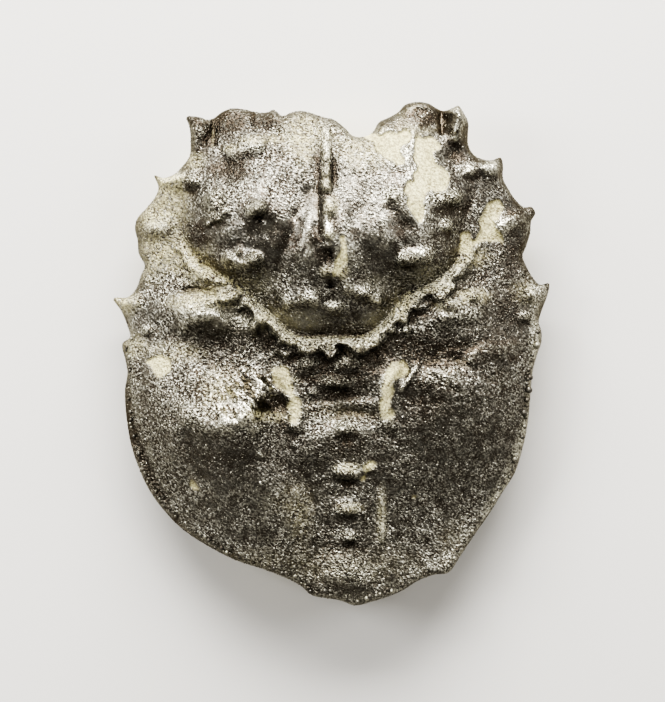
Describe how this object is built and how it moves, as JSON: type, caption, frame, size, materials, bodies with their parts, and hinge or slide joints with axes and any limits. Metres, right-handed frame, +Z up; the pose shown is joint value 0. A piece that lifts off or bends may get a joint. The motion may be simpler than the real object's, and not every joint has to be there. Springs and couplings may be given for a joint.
{
  "type": "fossil crab",
  "caption": "Fossil crab back shell filled with rock, dark and finely grained, with side spines, a U-shaped groove and patches of bare pale rock, lying back up.",
  "frame": {"origin": "middle of the bounding box's footprint, on the flat underside that the fossil rests on", "axes": "+Z up, out of the back of the shell; +Y towards the front edge of the animal; +X towards its right side"},
  "size_m": [0.0348, 0.04, 0.012],
  "materials": {
    "shell": "dark brown mineral shell with a metallic sheen, finely grained, flaked off to pale cream rock in patches"
  },
  "bodies": {
    "root": {"carapace": "shell"}
  },
  "joints": []
}
